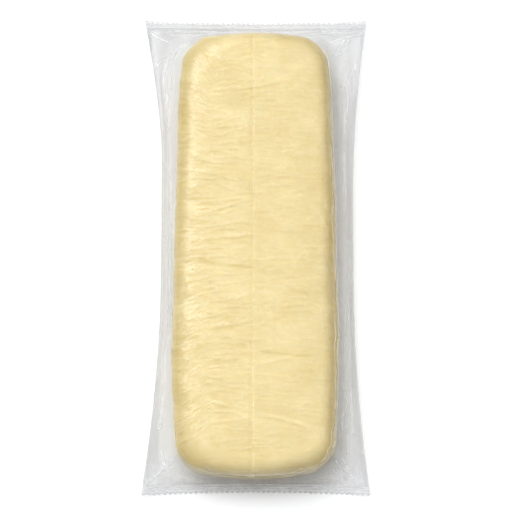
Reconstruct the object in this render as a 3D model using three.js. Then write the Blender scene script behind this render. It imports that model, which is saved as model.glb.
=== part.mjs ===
// A one kilogram loaf of pale yellow cheese, sealed in a clear film bag that is longer and wider
// than the loaf. The pack lies flat: X runs across it, Y along it and Z up. All sizes are in mm.
// Two solids: the loaf, and the bag where it stands clear of the loaf, which is a skirt round the
// loaf with two flat side wings, four flared corners and a tooth-cut seal across each end.
// Over and under the loaf the film lies tight, so the loaf's own surface is the film's there.
import * as THREE from 'three';

// The loaf.
const loafHalfLength = 126.6;
const loafHalfWidth = 45.6; // at the middle of its length
const loafHeight = 43.5;
const loafShiftX = -0.3; // the loaf lies a little off the middle of its bag
const loafShiftY = -3.4;
const loafTaper = 1.85; // how much narrower one side is at the far end, and wider at the near end
const loafPinch = 0.105; // share of its width that the loaf loses towards each end
const loafCrown = 6.8; // how far the middle of each end stands out past its corners
const loafCornerRadius = 12.5; // the four upright corners, seen from above
const shoulderRadius = 10.5; // the edge round the top face
const leftShoulderWidth = 19; // the same edge is as high but wider on the left, so it slopes gently
const gentleFrom = 12; // the edge starts to widen here, to the left of the middle,
const gentleTo = 42; // and has its full width from here
const heelRadius = 9; // the edge round the resting face
const faceCrown = 1.1; // how far the middle of the top face stands above its edge
const sideWobble = 0.45; // slow unevenness of the sides
const wobbleLength = 107; // from one swell of a side to the next
const wobbleFade = 258; // the swells fade out at the middle and, half of this away, at the ends

// The bag.
const bagLength = 278;
const bagWidth = 130; // across the seals
const sealDepth = 4.8;
const farSealBow = 0.7; // how far the middle of each seal is drawn in towards the loaf
const nearSealBow = 2;
const teethPerSeal = 44;
const toothDepth = 0.75;
const wingFold = 3; // flat strip along the outer edge of each wing
const filmEdge = 1; // thickness of the flat edges of the bag
const filmGap = 0.5; // clearance between the bag and the loaf
const wingHeight = 11; // the wing's edge at the waist
const wingDroop = 3; // power of the wing's fall from its waist to the corners
const cornerHeight = 4.5;
const sealInnerHeight = 6; // the seals droop from here
const sealOuterHeight = 1.2; // to here
const sealLift = 8; // power of a seal's change of height towards the corners
const filmLeavesShoulder = 34; // highest place where the upper film leaves the loaf
const steepestFilm = 5; // rise of the upper film over its run, where the loaf lies close to a seal
const filmLeavesHeel = 4; // height where the lower film leaves the loaf
const upperSag = 2.4; // how deeply the upper film hollows between the loaf and the wing
const lowerSag = 1.5; // and the lower film

// Each long edge of the bag curves out from its waist to the corners. A positive side is +X.
const edges = {
  left: { waist: 54.2, farStart: 56, farPower: 1.5, nearStart: 8, nearPower: 2 },
  right: { waist: 56, farStart: 25, farPower: 2, nearStart: 18, nearPower: 2 },
};

// How finely the shapes are divided.
const stepsPerSeal = 2 * teethPerSeal;
const stepsPerSide = 38;
const arcSteps = 5;
const faceShares = [0.35, 0.7]; // rings on the loaf's top face
const upperShares = [0.7, 0.4, 0.15]; // rings on the upper film, from the wing to the loaf
const lowerShare = 0.45; // ring on the lower film
const bisections = 40;

const film = new THREE.MeshStandardMaterial({
  color: 0xe4e5e3, roughness: 0.18, metalness: 0, transparent: true, opacity: 0.45,
});
const cheese = new THREE.MeshStandardMaterial({ color: 0xf3e0a2, roughness: 0.42, metalness: 0 });

// Half the loaf's width at a place along it, before its corners are rounded.
function loafSide(y) {
  const along = y / loafHalfLength;
  return (loafHalfWidth - loafTaper * along) * (1 - loafPinch * along ** 4);
}

// How far each end of the loaf reaches at a place across it, before its corners are rounded.
function loafEnd(x) {
  return loafHalfLength - loafCrown * (x / loafHalfWidth) ** 2;
}

// Depth inside the loaf's outline, in the loaf's own frame: zero on the outline, negative outside.
function depthInLoaf(x, y) {
  const fromSide = Math.max(loafCornerRadius - (loafSide(y) - Math.abs(x)), 0);
  const fromEnd = Math.max(loafCornerRadius - (loafEnd(x) - Math.abs(y)), 0);
  return loafCornerRadius - Math.hypot(fromSide, fromEnd);
}

// How far a side of the loaf swells to the right, with the two sides out of step.
function sideSwell(x, y) {
  const swell = Math.sin(2 * Math.PI * y / wobbleLength + Math.sign(x));
  return sideWobble * swell * Math.sin(2 * Math.PI * y / wobbleFade);
}

// The middle line of the loaf, from which every spoke starts.
function spineToward(y) {
  const spineHalf = loafHalfLength - loafHalfWidth;
  return new THREE.Vector2(0, THREE.MathUtils.clamp(y, -spineHalf, spineHalf));
}

// Where the straight spoke towards a point of the bag leaves the loaf.
function loafOutlineToward(point) {
  const target = point.clone().sub(new THREE.Vector2(loafShiftX, loafShiftY));
  const start = spineToward(target.y);
  let inside = 0;
  let outside = 1;
  for (let step = 0; step < bisections; step++) {
    const middle = (inside + outside) / 2;
    const probe = start.clone().lerp(target, middle);
    if (depthInLoaf(probe.x, probe.y) > 0) inside = middle;
    else outside = middle;
  }
  const found = start.lerp(target, inside);
  found.x += sideSwell(found.x, found.y);
  return found;
}

// The loaf's outline, drawn in by an inset that is the same on its sides and ends.
function insetLoafPoint(outline, inset) {
  const x = outline.x * (1 - inset / loafHalfWidth);
  const y = outline.y * (1 - inset / loafHalfLength);
  return new THREE.Vector2(x + loafShiftX, y + loafShiftY);
}

// How far in from the outline the rounded edge of the top face reaches.
function shoulderWidth(outline) {
  const gentle = THREE.MathUtils.smoothstep(-outline.x, gentleFrom, gentleTo);
  return THREE.MathUtils.lerp(shoulderRadius, leftShoulderWidth, gentle);
}

// How far the loaf's surface is drawn in at a height on its rounded edges.
function insetAtHeight(outline, z) {
  const aboveBase = z - (loafHeight - shoulderRadius);
  if (aboveBase > 0) {
    const share = aboveBase / (shoulderRadius - faceCrown);
    return shoulderWidth(outline) * (1 - Math.sqrt(1 - share ** 2));
  }
  if (z < heelRadius) return heelRadius - Math.sqrt(heelRadius ** 2 - (heelRadius - z) ** 2);
  return 0;
}

// Half the bag's width at a place along it, on one side.
function bagSide(side, y) {
  const edge = side > 0 ? edges.right : edges.left;
  const start = y > 0 ? edge.farStart : edge.nearStart;
  const power = y > 0 ? edge.farPower : edge.nearPower;
  const along = Math.max(Math.abs(y) - start, 0) / (bagLength / 2 - start);
  return edge.waist + (bagWidth / 2 - edge.waist) * along ** power;
}

// How far a seal's outer edge is from the middle of the bag, before its teeth are cut.
function sealLine(end, x) {
  const bow = end > 0 ? farSealBow : nearSealBow;
  return bagLength / 2 - bow * (1 - (x / (bagWidth / 2)) ** 2);
}

// One spoke across a seal. The tooth-cut edge zigzags from spoke to spoke.
function sealSpoke(end, across, step) {
  const tooth = step % 2 === 0 ? toothDepth : 0;
  const x = across * bagWidth / 2;
  const innerX = across * (bagWidth / 2 - wingFold);
  const towardCorner = across ** sealLift;
  return {
    rim: new THREE.Vector2(x, end * (sealLine(end, x) - tooth)),
    fold: new THREE.Vector2(innerX, end * (sealLine(end, innerX) - sealDepth)),
    rimHeight: THREE.MathUtils.lerp(sealOuterHeight, cornerHeight, towardCorner),
    foldHeight: THREE.MathUtils.lerp(sealInnerHeight, cornerHeight, towardCorner),
  };
}

// One spoke across a side wing.
function wingSpoke(side, along) {
  const y = along * (bagLength / 2 - toothDepth);
  const innerY = along * (bagLength / 2 - sealDepth);
  const height = THREE.MathUtils.lerp(wingHeight, cornerHeight, Math.abs(along) ** wingDroop);
  return {
    rim: new THREE.Vector2(side * bagSide(side, y), y),
    fold: new THREE.Vector2(side * (bagSide(side, innerY) - wingFold), innerY),
    rimHeight: height,
    foldHeight: height,
  };
}

// The spokes run once round the pack, against the clock seen from above.
function spokesRoundPack() {
  const spokes = [];
  for (let i = 0; i < stepsPerSide; i++) spokes.push(wingSpoke(1, -1 + 2 * i / stepsPerSide));
  for (let i = 0; i < stepsPerSeal; i++) spokes.push(sealSpoke(1, 1 - 2 * i / stepsPerSeal, i));
  for (let i = 0; i < stepsPerSide; i++) spokes.push(wingSpoke(-1, 1 - 2 * i / stepsPerSide));
  for (let i = 0; i < stepsPerSeal; i++) spokes.push(sealSpoke(-1, -1 + 2 * i / stepsPerSeal, i));
  for (const spoke of spokes) spoke.outline = loafOutlineToward(spoke.fold);
  return spokes;
}

// Moves the vertices of a grid-like geometry, which has one column for each spoke.
function shapeGrid(geometry, columns, rows, place) {
  const positions = geometry.attributes.position;
  for (let row = 0; row <= rows; row++) {
    for (let column = 0; column <= columns; column++) {
      const point = place(row, column % columns);
      positions.setXYZ(row * (columns + 1) + column, point.x, point.y, point.z);
    }
  }
  geometry.deleteAttribute('normal');
  geometry.deleteAttribute('uv');
  return geometry;
}

// The loaf's section, from just outside the middle of its top face down to the rim of its resting
// face. Each entry is a height and how far the outline is drawn in there.
function loafLevels(outline) {
  const levels = [];
  const width = shoulderWidth(outline);
  const faceHalf = loafHalfWidth - width;
  for (const share of faceShares) {
    levels.push({ inset: loafHalfWidth - share * faceHalf, z: loafHeight - faceCrown * share ** 2 });
  }
  const shoulderTop = shoulderRadius - faceCrown;
  for (let i = 0; i <= arcSteps; i++) {
    const angle = i / arcSteps * Math.PI / 2;
    levels.push({
      inset: width * (1 - Math.sin(angle)),
      z: loafHeight - shoulderRadius + shoulderTop * Math.cos(angle),
    });
  }
  for (let i = 0; i <= arcSteps; i++) {
    const angle = i / arcSteps * Math.PI / 2;
    levels.push({ inset: heelRadius * (1 - Math.cos(angle)), z: heelRadius * (1 - Math.sin(angle)) });
  }
  return levels;
}

function makeLoaf(spokes) {
  const columns = spokes.length / 2;
  const rows = faceShares.length + 2 * (arcSteps + 1) + 1;
  const geometry = new THREE.SphereGeometry(1, columns, rows);
  shapeGrid(geometry, columns, rows, (row, column) => {
    if (row === 0) return new THREE.Vector3(loafShiftX, loafShiftY, loafHeight);
    if (row === rows) return new THREE.Vector3(loafShiftX, loafShiftY, 0);
    const { outline } = spokes[2 * column];
    const level = loafLevels(outline)[row - 1];
    const point = insetLoafPoint(outline, level.inset);
    return new THREE.Vector3(point.x, point.y, level.z);
  });
  const mesh = new THREE.Mesh(geometry, cheese);
  mesh.name = 'cheese_loaf';
  return mesh;
}

// A point on the bag's inner wall, which follows the loaf's side at a small clearance.
function wallPoint(spoke, z) {
  const point = insetLoafPoint(spoke.outline, insetAtHeight(spoke.outline, z) - filmGap);
  return new THREE.Vector3(point.x, point.y, z);
}

// Height where the upper film leaves the loaf. Close to a seal it clings further down.
function leavingHeight(spoke) {
  const loafEdge = insetLoafPoint(spoke.outline, -filmGap);
  const run = loafEdge.distanceTo(spoke.fold);
  return Math.min(filmLeavesShoulder, spoke.foldHeight + steepestFilm * run);
}

// A point on the upper or lower film between the loaf and the flat edge of the bag.
function skirtPoint(spoke, share, wallHeight, foldHeight, sag) {
  const start = wallPoint(spoke, wallHeight);
  const end = new THREE.Vector3(spoke.fold.x, spoke.fold.y, foldHeight);
  const point = start.lerp(end, share);
  point.z = THREE.MathUtils.lerp(foldHeight, wallHeight, (1 - share) ** sag);
  return point;
}

// The bag's section at one spoke: out over the upper film's edge, up the skirt to the loaf, down the
// loaf's side, and back out along the lower film.
function bagSection(spoke) {
  const half = filmEdge / 2;
  const upper = spoke.foldHeight + half;
  const lower = spoke.foldHeight - half;
  const top = leavingHeight(spoke);
  const wallTop = Math.min(loafHeight - shoulderRadius, top - half);
  const wallHeights = [top, wallTop, heelRadius, filmLeavesHeel];
  return [
    new THREE.Vector3(spoke.rim.x, spoke.rim.y, spoke.rimHeight - half),
    new THREE.Vector3(spoke.rim.x, spoke.rim.y, spoke.rimHeight + half),
    new THREE.Vector3(spoke.fold.x, spoke.fold.y, upper),
    ...upperShares.map((share) => skirtPoint(spoke, share, top, upper, upperSag)),
    ...wallHeights.map((z) => wallPoint(spoke, z)),
    skirtPoint(spoke, lowerShare, filmLeavesHeel, lower, lowerSag),
    new THREE.Vector3(spoke.fold.x, spoke.fold.y, lower),
  ];
}

function makeBag(spokes) {
  const sections = spokes.map(bagSection);
  const rows = sections[0].length;
  const geometry = new THREE.TorusGeometry(1, 0.5, rows, spokes.length);
  shapeGrid(geometry, spokes.length, rows, (row, column) => sections[column][row % rows]);
  const mesh = new THREE.Mesh(geometry, film);
  mesh.name = 'film_bag';
  return mesh;
}

const spokes = spokesRoundPack();
const pack = new THREE.Group();
pack.add(makeLoaf(spokes));
pack.add(makeBag(spokes));

export default pack;
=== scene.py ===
"""A one kilogram loaf of pale yellow cheese, sealed in a clear film bag, lying flat.

X runs across the pack, Y along it and Z up. Sizes are in millimetres, and every mesh is
turned into metres as it is made. The camera and the lights are placed in metres.
"""
import math

import bmesh
import bpy
import numpy as np
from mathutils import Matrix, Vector


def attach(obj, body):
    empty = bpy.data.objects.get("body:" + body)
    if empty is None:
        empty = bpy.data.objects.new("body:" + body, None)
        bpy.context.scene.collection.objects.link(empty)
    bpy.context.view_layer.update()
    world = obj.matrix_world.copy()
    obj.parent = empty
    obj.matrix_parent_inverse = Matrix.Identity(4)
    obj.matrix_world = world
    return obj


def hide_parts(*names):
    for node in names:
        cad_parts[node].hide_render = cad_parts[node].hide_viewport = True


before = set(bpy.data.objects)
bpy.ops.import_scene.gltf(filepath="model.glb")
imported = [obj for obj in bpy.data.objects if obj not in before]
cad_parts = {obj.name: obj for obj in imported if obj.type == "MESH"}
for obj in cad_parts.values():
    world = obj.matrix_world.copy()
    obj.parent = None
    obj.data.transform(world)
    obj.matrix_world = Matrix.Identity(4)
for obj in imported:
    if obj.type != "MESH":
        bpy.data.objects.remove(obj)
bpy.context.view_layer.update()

MM = 0.001

# The loaf, as in the solid.
LOAF_HALF_LENGTH = 126.6
LOAF_HALF_WIDTH = 45.6
LOAF_HEIGHT = 43.5
LOAF_SHIFT = np.array([-0.3, -3.4])
LOAF_TAPER = 1.85
LOAF_PINCH = 0.105
LOAF_CROWN = 6.8
LOAF_CORNER_RADIUS = 12.5
SHOULDER_RADIUS = 10.5
LEFT_SHOULDER_WIDTH = 19.0  # the left shoulder is drawn out and slopes more gently
HEEL_RADIUS = 9.0
FACE_CROWN = 1.1
SIDE_WOBBLE = 0.45
WOBBLE_LENGTH = 107.0
WOBBLE_FADE = 258.0

# The bag.
BAG_LENGTH = 278.0
BAG_WIDTH = 130.0
SEAL_DEPTH = 4.8
SEAL_BOW = {"far": 0.7, "near": 2.0}
TEETH_PER_SEAL = 44
TOOTH_DEPTH = 0.75
WING_HEIGHT = 11.0
WING_DROOP = 3.0  # the power by which the side folds come down toward the corners
CORNER_HEIGHT = 4.5
SEAL_INNER_HEIGHT = 6.0
SEAL_OUTER_HEIGHT = 0.8
SEAL_LIFT = 8.0  # the power by which the seals come to the corners' height
FILM_LEAVES_SHOULDER = 34.0
STEEPEST_FILM = 5.0  # the film rises at most this steeply from its rim
FILM_LEAVES_HEEL = 4.0
UPPER_SAG = 2.4
LOWER_SAG = 1.5
SKIRT_GATHER = 1.4  # over one, the upper film's rings lie closer together toward the loaf
FILM_LIFT = 0.22  # the film's clearance over the cheese
FOLD_GAP = 0.08  # between the upper and the lower film at the bag's side folds
# Half the bag's width at its waist, and for each end where its flare starts and by what power.
EDGES = {
    "left": {"waist": 54.2, "far": (56.0, 1.5), "near": (8.0, 2.0)},
    "right": {"waist": 56.0, "far": (25.0, 2.0), "near": (18.0, 2.0)},
}

# The film's small folds: how many, and how high and wide in millimetres.
CREST_HEIGHTS = (0.07, 0.13)  # on the right half of the face, and on its left
CREST_SHARE = 0.55  # how broad the crests are
WRINKLE_COUNT = 420
WRINKLE_HEIGHT = 0.11
SQUIGGLE_COUNT = 460
SQUIGGLE_HEIGHT = 0.15
FOLD_HEIGHT = 0.17
HIGHEST_RIDGE = 0.3  # ridges that cross on the face stay under this
CHEESE_RIDGES = 0.6  # the share of their height that the cheese has taken on
CREASE_RELIEF = 0.5
LIP_HEIGHT = 0.25
LOAF_SWELL = 0.1
LEFT_SWELL = 0.2  # what the left shoulder has besides
WING_SWELL = 0.12
UNDER_SWELL = 0.2
LOWEST_FILM = 0.03
LAP_PLACE = -2.3
LAP_WIDTH = 3.0
LAP_LIFT = 0.06
SEAL_RIBS = 3.4
SEAL_RIB_HEIGHT = 0.22
STRAND_WIDTH = 0.9
STRAND_HEIGHT = 0.35
STRAND_END = -0.7  # where the strands end along the near seal, which runs from 1 to -1

# How milky the film is, as shares. Some of this milk is painted glare, highlight or light, as
# noted.
# partly the film's haze, partly painted glare on the face's top
FACE_MILK_AND_GLARE = 0.1
# partly the film's milk, partly a painted highlight on the wrinkles' crests
RIDGE_MILK_AND_HIGHLIGHT = 0.45
MOST_FACE_MILK = 0.4
WING_MILK = 0.03
# partly the film's milk, partly painted light on the near skirt, which lies in the loaf's shade
NEAR_MILK_AND_PAINTED_LIGHT = 0.12
# partly the folded film's milk, partly a painted glint along the creases
CREASE_MILK_AND_GLINT = 1.35
LIP_MILK = 0.08
EDGE_MILK = 0.12
LAP_MILK = 0.26
# the near seal's larger share is partly painted light in the loaf's shade
SEAL_MILK = {"far": 0.2, "near": 0.34}
# partly the crimped film's milk, partly a painted glint on the ribs
RIB_MILK_AND_GLINT = 0.22
STRAND_MILK = (0.45, 0.05)  # along its middle, and along its edges

# The share of light that the film lets through.
LYING_CLEARNESS = 0.98
FREE_CLEARNESS = 0.93
# clearer at the right rim than the left: painted light on the right, which gets less of the lamp
RIM_CLEARNESS = {"left": 0.83, "right": 0.88}
RIM_REACH = 7.0  # how far in from its rim the film is less clear, in millimetres
LAP_CLEARNESS = 0.985
SEAL_CLEARNESS = 0.81
# painted shadow: the seals' toothed outer edge is made darker
TOOTH_SHADOW_CLEARNESS = 0.55
STRAND_CLEARNESS = (0.92, 0.76)
# painted shade: the film is made less clear on the wrinkles' flanks that face the near end, away
# from the lamp
NEAR_FLANK_PAINTED_SHADE = 0.32
WING_STREAKS = 0.02
PAINTED_SIDE_SHADOW = 0.13  # painted shadow on the film next to the loaf's right side

# The finishes.
CHEESE_DARK = (0.835, 0.69, 0.335, 1)
CHEESE_LIGHT = (0.895, 0.775, 0.435, 1)
EDGE_PAINTED_SHADE = (0.72, 0.68, 0.58, 1)  # painted shade: what is left of the cheese's colour at its edges
EDGE_SHARES = {"left": 0.4, "near": 0.66}  # how deep these are against the right one
EDGE_START = 1.3  # how far below the face's top they start
EDGE_DROPS = {"left": 5.5, "near": 7.7, "right": 4.6}  # where each is at its full depth
EDGE_BULGE = 1.3  # by how much less on the right, where the band is at its widest
EDGE_PATCHES = 0.18
WALL_SHADE_SHARE = 0.5  # the share of that painted shade which the walls keep
CHEESE_CLOUDS = 45.0  # how many to a metre, as in the three that follow
CURD_GRAIN = 260.0
CRUMPLE_GRAIN = 620.0
VEIL_GRAIN = 380.0
BUMP_DEPTH = 0.0003  # in metres, as the floor's sizes are
VEIL_COLOUR = (0.9, 0.9, 0.91, 1)
CREAM_VEIL = (0.97, 0.92, 0.76, 1)
GOLDEN_POWERS = (("Green", 0.4), ("Blue", 2.0))  # how much more of these the film takes away
FLOOR_COLOUR = (0.925, 0.94, 0.965, 1)
FILM_SHINE = 0.07  # a film's reflection seen straight on
SLANT_SHINE = 0.4  # and what is added to it at a slant

# The light: a soft lamp up at the far left, whose sheen on the film is a panel's, and the sky.
SKY_LEVEL = 0.14
SKY_GLOW = 0.36
SKY_FOCUS = 2.5
SKY_TOWARD = Vector((-0.15, 0.35, 0.92))
LAMP_TOWARD = Vector((-0.11, 0.22, 0.97))
LAMP_STRENGTH = 2.62
LAMP_SOFTNESS = 32  # the degrees that it spans
SHEEN_PLACE = (-0.6, 0.5, 0.98)
SHEEN_WIDTH = 0.92
SHEEN_LENGTH = 0.35
SHEEN_POWER = 2.3
LIGHT_TARGET = Vector((0, 0, 0.03))
FLOOR_GLOW = 0.04
FLOOR_REACH = 2.5
FLOOR_DROP = 0.0001

# The camera, high above the near end, as the photo was taken.
CAMERA_ELEVATION = 80
CAMERA_DISTANCE = 1.344
CAMERA_TARGET = Vector((0.00014, -0.0028, 0.013))
CAMERA_LENS = 165.2

# How finely the sheets are divided.
FACE_COLUMNS = 110
FACE_ROWS = 560
CLING_RINGS = 14
SKIRT_RINGS = 44
SKIRT_END_STEPS = 2  # the skirt's columns for each of the face sheet's, at the pack's ends
LOAF_COLUMNS = 88
LOAF_ROWS = 440
WALL_RINGS = 9
HEEL_RINGS = 5
UNDER_FACE_COLUMNS = 40
UNDER_FACE_ROWS = 200
UNDER_SKIRT_RINGS = 14
UNDER_CLING_RINGS = 6
STEPS_PER_TOOTH = 8
SEAL_ROWS = 20
LAP_COLUMNS = 8
PATH_STEPS = 6  # from each point of a crease's path to the next
STRAND_STEPS = 1200
STRAND_COLUMNS = 6
HALVINGS = 40  # in the search for the loaf's outline


def lerp(start, end, share):
    return start + (end - start) * share


def smooth(share):
    share = np.clip(share, 0, 1)
    return share * share * (3 - 2 * share)


def rise(value, start, end):
    """Zero where the value is at start, one where it is at end, and smooth between them."""
    return smooth((value - start) / (end - start))


# -------- the loaf's form

def loaf_side(y):
    along = y / LOAF_HALF_LENGTH
    return (LOAF_HALF_WIDTH - LOAF_TAPER * along) * (1 - LOAF_PINCH * along ** 4)


def loaf_end(x):
    return LOAF_HALF_LENGTH - LOAF_CROWN * (x / LOAF_HALF_WIDTH) ** 2


def depth_in_loaf(x, y):
    """Zero on the loaf's outline, in the loaf's own frame, and negative outside."""
    from_side = np.maximum(LOAF_CORNER_RADIUS - (loaf_side(y) - abs(x)), 0)
    from_end = np.maximum(LOAF_CORNER_RADIUS - (loaf_end(x) - abs(y)), 0)
    return LOAF_CORNER_RADIUS - np.hypot(from_side, from_end)


def side_swell(x, y):
    swell = np.sin(2 * math.pi * y / WOBBLE_LENGTH + np.sign(x))
    return SIDE_WOBBLE * swell * np.sin(2 * math.pi * y / WOBBLE_FADE)


def outline_toward(plan):
    """Where straight spokes from the loaf's middle line to points of the bag leave the loaf."""
    target = plan - LOAF_SHIFT
    spine_half = LOAF_HALF_LENGTH - LOAF_HALF_WIDTH
    start = np.stack([0 * target[:, 0], np.clip(target[:, 1], -spine_half, spine_half)], 1)
    inside = np.zeros(len(plan))
    outside = np.ones(len(plan))
    for _ in range(HALVINGS):
        middle = (inside + outside) / 2
        probe = lerp(start, target, middle[:, None])
        within = depth_in_loaf(probe[:, 0], probe[:, 1]) > 0
        inside = np.where(within, middle, inside)
        outside = np.where(within, outside, middle)
    found = lerp(start, target, inside[:, None])
    found[:, 0] += side_swell(found[:, 0], found[:, 1])
    return found


def inset_plan(outline, inset):
    """The loaf's outline, drawn in by an inset that is the same on its sides and ends."""
    x = outline[:, 0] * (1 - inset / LOAF_HALF_WIDTH) + LOAF_SHIFT[0]
    y = outline[:, 1] * (1 - inset / LOAF_HALF_LENGTH) + LOAF_SHIFT[1]
    return np.stack([x, y], 1)


SHOULDER_BASE = LOAF_HEIGHT - SHOULDER_RADIUS
SHOULDER_TOP = SHOULDER_RADIUS - FACE_CROWN
SHOULDER_ARC = SHOULDER_RADIUS * math.pi / 2


def shoulder_width(outline):
    """How far in from the outline the rounded shoulder reaches."""
    left = rise(outline[:, 0], -12, -42)
    return lerp(SHOULDER_RADIUS, LEFT_SHOULDER_WIDTH, left)


def shoulder_point(outline, distance):
    """A point on the loaf, some distance down from the rim of its face, round the shoulder and
    then straight down its wall."""
    distance = distance + np.zeros(len(outline))
    angle = np.minimum(distance, SHOULDER_ARC) / SHOULDER_RADIUS
    inset = shoulder_width(outline) * (1 - np.sin(angle))
    plan = inset_plan(outline, inset)
    z = SHOULDER_BASE + SHOULDER_TOP * np.cos(angle) - np.maximum(distance - SHOULDER_ARC, 0)
    return np.column_stack([plan, z])


def heel_point(outline, share):
    """A point on the rounded edge round the resting face, from its top at 0 to its rim at 1."""
    angle = share * math.pi / 2
    plan = inset_plan(outline, HEEL_RADIUS * (1 - math.cos(angle)))
    return np.column_stack([plan, np.full(len(plan), HEEL_RADIUS * (1 - math.sin(angle)))])


# -------- the bag's form

def bag_side(side, y):
    """Half the bag's width at a place along it."""
    edge = EDGES[side]
    far_start, far_power = edge["far"]
    near_start, near_power = edge["near"]
    start = np.where(y > 0, far_start, near_start)
    power = np.where(y > 0, far_power, near_power)
    along = np.maximum(abs(y) - start, 0) / (BAG_LENGTH / 2 - start)
    return edge["waist"] + (BAG_WIDTH / 2 - edge["waist"]) * along ** power


def seal_line(end, x):
    """The outer edge of a seal, before its teeth are cut."""
    return BAG_LENGTH / 2 - SEAL_BOW[end] * (1 - (x / (BAG_WIDTH / 2)) ** 2)


BAG_CORNER_Y = BAG_LENGTH / 2 - SEAL_DEPTH


def rim_point(side, along):
    """The edge of the two films: the bag's fold at its sides, a seal's inner edge at its ends."""
    if side in EDGES:
        y = along * BAG_CORNER_Y
        x = (1 if side == "right" else -1) * bag_side(side, y)
        z = lerp(WING_HEIGHT, CORNER_HEIGHT, abs(along) ** WING_DROOP)
        return np.column_stack([x, y, z])
    x = lerp(-bag_side("left", BAG_CORNER_Y), bag_side("right", BAG_CORNER_Y), (along + 1) / 2)
    y = (1 if side == "far" else -1) * (seal_line(side, x) - SEAL_DEPTH)
    z = lerp(SEAL_INNER_HEIGHT, CORNER_HEIGHT, abs(along) ** SEAL_LIFT)
    return np.column_stack([x, y, z])


def with_places(point, from_loaf, to_rim):
    """A sheet's points, with their distance from where the film leaves the loaf, which is
    negative on the loaf, and their share of the way out to the rim."""
    count = len(point)
    return np.column_stack([point, from_loaf + np.zeros(count), to_rim + np.zeros(count)])


def skirt_point(start, rim, share, sag):
    """A point on the film between the loaf and the rim."""
    point = lerp(start, rim, share)
    share = share[:, 0]
    point[:, 2] = lerp(rim[:, 2], start[:, 2], (1 - share) ** sag)
    return with_places(point, np.linalg.norm(point - start, axis=1), share)


def upper_start(rim):
    """How far down from the face's rim the upper film leaves the loaf."""
    outline = outline_toward(rim[:, :2])
    run = np.hypot(*(inset_plan(outline, 0) - rim[:, :2]).T)
    height = np.minimum(FILM_LEAVES_SHOULDER, rim[:, 2] + STEEPEST_FILM * run)
    angle = np.arccos(np.clip((height - SHOULDER_BASE) / SHOULDER_TOP, 0, 1))
    return outline, angle * SHOULDER_RADIUS + np.maximum(SHOULDER_BASE - height, 0)


def upper_film_point(side, along, ring):
    """A point of the upper film: ring 0 is at the rim, and the last ring round the face."""
    rim = rim_point(side, along)
    rim[:, 2] += FOLD_GAP / 2
    outline, leaving = upper_start(rim)
    ring = ring + np.zeros(len(rim))
    share = np.clip(1 - ring / SKIRT_RINGS, 0, 1) ** SKIRT_GATHER
    skirt = skirt_point(shoulder_point(outline, leaving), rim, share[:, None], UPPER_SAG)
    clinging = np.clip(1 - (ring - SKIRT_RINGS) / CLING_RINGS, 0, 1)
    lying = with_places(shoulder_point(outline, leaving * clinging), leaving * (clinging - 1), 0)
    return np.where(ring[:, None] > SKIRT_RINGS, lying, skirt)


def lower_film_point(side, along, ring):
    """A point of the lower film, with ring 0 at the rim."""
    rim = rim_point(side, along)
    rim[:, 2] -= FOLD_GAP / 2
    outline = outline_toward(rim[:, :2])
    leaving = 2 / math.pi * math.asin(1 - FILM_LEAVES_HEEL / HEEL_RADIUS)
    if ring <= UNDER_SKIRT_RINGS:
        share = np.full((len(rim), 1), 1 - ring / UNDER_SKIRT_RINGS)
        return skirt_point(heel_point(outline, leaving), rim, share, LOWER_SAG)
    share = lerp(leaving, 1, (ring - UNDER_SKIRT_RINGS) / UNDER_CLING_RINGS)
    return with_places(heel_point(outline, share), (leaving - share) * HEEL_RADIUS, 0)


LOAF_RINGS = HEEL_RINGS + WALL_RINGS + CLING_RINGS
WALL_BOTTOM = SHOULDER_ARC + SHOULDER_BASE - HEEL_RADIUS


def loaf_point(side, along, ring):
    """A point of the loaf, with ring 0 round its resting face."""
    outline = outline_toward(rim_point(side, along)[:, :2])
    if ring < HEEL_RINGS:
        point = heel_point(outline, 1 - ring / HEEL_RINGS)
    elif ring < HEEL_RINGS + WALL_RINGS:
        share = (ring - HEEL_RINGS) / WALL_RINGS
        point = shoulder_point(outline, lerp(WALL_BOTTOM, SHOULDER_ARC, share))
    else:
        share = 1 - (ring - HEEL_RINGS - WALL_RINGS) / CLING_RINGS
        point = shoulder_point(outline, SHOULDER_ARC * share)
    return with_places(point, 0, 0)


# -------- sheets of vertices

def lay_rings(columns, rows, rings, place):
    """A grid of points whose outer rings go round the pack. place gives a ring's side."""
    points = np.zeros((columns + 1, rows + 1, 5))
    for ring in range(rings + 1):
        last_column = columns - ring
        last_row = rows - ring
        along = np.linspace(-1, 1, last_row - ring + 1)
        across = np.linspace(-1, 1, last_column - ring + 1)
        points[ring, ring:last_row + 1] = place("left", along, ring)
        points[last_column, ring:last_row + 1] = place("right", along, ring)
        points[ring:last_column + 1, ring] = place("near", across, ring)
        points[ring:last_column + 1, last_row] = place("far", across, ring)
    return points


def lay_band(end_columns, side_columns, rings, place):
    """A closed band of points round the pack, from its near left corner, with its rim first."""
    sides = []
    for side, columns, turn in (
        ("near", end_columns, 1), ("right", side_columns, 1),
        ("far", end_columns, -1), ("left", side_columns, -1)):
        along = turn * np.linspace(-1, 1, columns + 1)[:-1]
        sides.append(np.stack([place(side, along, ring) for ring in range(rings + 1)], axis=1))
    return np.concatenate([*sides, sides[0][:1]])


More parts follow.
